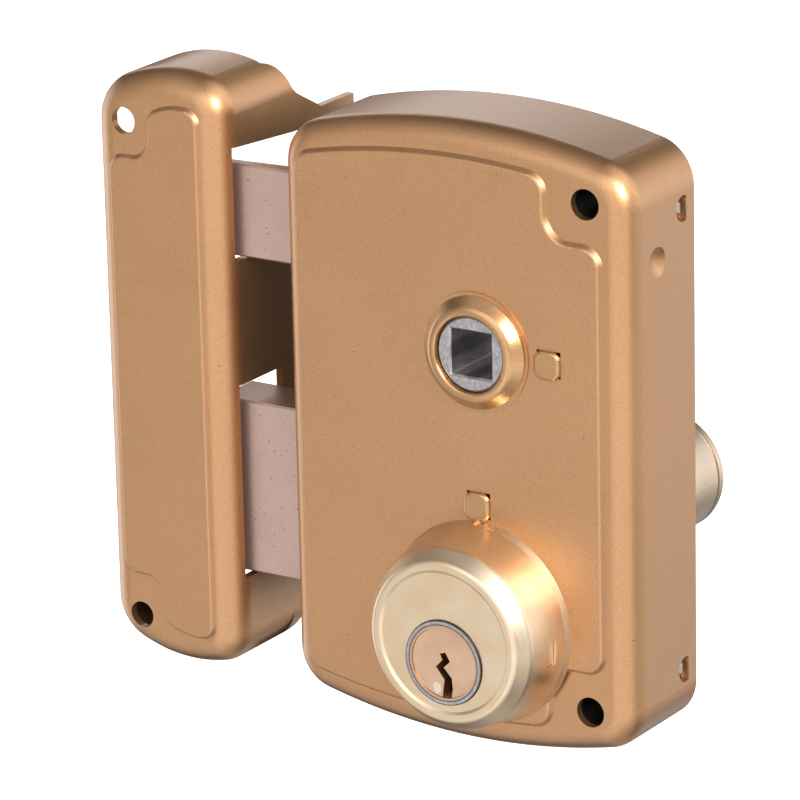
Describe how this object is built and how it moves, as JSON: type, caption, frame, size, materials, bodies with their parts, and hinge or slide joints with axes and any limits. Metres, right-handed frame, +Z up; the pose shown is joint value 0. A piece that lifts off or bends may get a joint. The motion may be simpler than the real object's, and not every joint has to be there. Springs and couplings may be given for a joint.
{
  "type": "rim night latch",
  "caption": "Surface-mounted night latch: sprung latch, dead bolt, square follower, inner key cylinder in a brass cup, outer round cylinder, and a frame keeper.",
  "frame": {"origin": "centre of the case's back face, where it lies on the door", "axes": "+X along the door away from the keeper, +Y out of the case's back into the door, +Z up"},
  "size_m": [0.1122, 0.0772, 0.1118],
  "materials": {
    "gold_paint": "satin metallic gold paint",
    "gold_lacquer": "glossier gold lacquer on turned and staked parts",
    "zinc_plate": "zinc-plated sheet steel",
    "black_steel": "blackened steel tube",
    "grey_steel": "machined grey steel",
    "hub_steel": "worn bare steel",
    "bolt_steel": "grainy nickel-plated casting",
    "spring_steel": "bright spring wire",
    "cup_brass": "satin turned brass",
    "plug_brass": "pink brushed brass",
    "pin_brass": "turned brass",
    "pale_brass": "pale satin brass"
  },
  "bodies": {
    "case": {"case_shell": "gold_paint", "back_plate": "zinc_plate", "screw_pillars": "black_steel", "spring_post": "gold_lacquer", "bolt_guide_post": "gold_lacquer", "follower_collar": "gold_lacquer", "follower_spring": "spring_steel", "latch_spring": "spring_steel", "latch_spring_rod": "grey_steel", "latch_spring_bracket": "zinc_plate", "detent_spring": "spring_steel", "cylinder_cup": "cup_brass", "cup_clip": "cup_brass", "cylinder_ring_nut": "pin_brass", "inner_cylinder_body": "cup_brass", "inner_chamber_cover": "pin_brass", "inner_plug_collar": "hub_steel", "inner_driver_pins": "pin_brass", "inner_pin_springs": "spring_steel", "outer_cylinder_body": "pale_brass", "outer_chamber_cover": "pin_brass", "outer_driver_pins": "pin_brass", "outer_pin_springs": "spring_steel", "outer_cylinder_screws": "zinc_plate"},
    "follower": {"follower_hub": "hub_steel", "follower_arm": "grey_steel"},
    "latch": {"latch_bolt": "bolt_steel", "latch_tail": "zinc_plate", "latch_rivets": "grey_steel"},
    "dead_bolt": {"dead_bolt": "bolt_steel", "talon_plate": "zinc_plate", "dead_bolt_rivets": "grey_steel"},
    "inner_key_plug": {"inner_plug": "plug_brass", "inner_key_pins": "pin_brass", "inner_cam": "grey_steel", "inner_cam_clip": "spring_steel"},
    "outer_key_plug": {"outer_plug": "plug_brass", "outer_key_pins": "pin_brass", "outer_tailpiece": "grey_steel", "outer_cam": "grey_steel"},
    "keeper": {"keeper_shell": "gold_paint"}
  },
  "joints": [
    {"name": "follower_turn", "type": "hinge", "parent": "case", "child": "follower", "pos_m": [0.005, 0, 0.0165], "axis": [0, 1, 0], "range_deg": [0, 60], "deforming": ["follower_spring"]},
    {"name": "latch_throw", "type": "slide", "parent": "case", "child": "latch", "axis": [1, 0, 0], "range_m": [0, 0.018], "stiffness_N_per_m": 250, "springref_m": -0.012, "deforming": ["latch_spring"]},
    {"name": "inner_key_turn", "type": "hinge", "parent": "case", "child": "inner_key_plug", "pos_m": [0.005, 0, -0.0357], "axis": [0, 1, 0], "range_deg": [0, 90]},
    {"name": "dead_bolt_throw", "type": "slide", "parent": "case", "child": "dead_bolt", "axis": [1, 0, 0], "range_m": [0, 0.02]},
    {"name": "outer_key_turn", "type": "hinge", "parent": "case", "child": "outer_key_plug", "pos_m": [0.005, 0, -0.0275], "axis": [0, 1, 0], "range_deg": [-115, 115]},
    {"name": "keeper_fitting", "type": "slide", "parent": "case", "child": "keeper", "axis": [-1, 0, 0], "range_m": [-0.011, 0.03]}
  ],
  "couplings": [
    {"joint": "follower_turn", "follows": "latch_throw", "rad_per_m": 58.177},
    {"joint": "inner_key_turn", "follows": "dead_bolt_throw", "rad_per_m": 78.539}
  ]
}
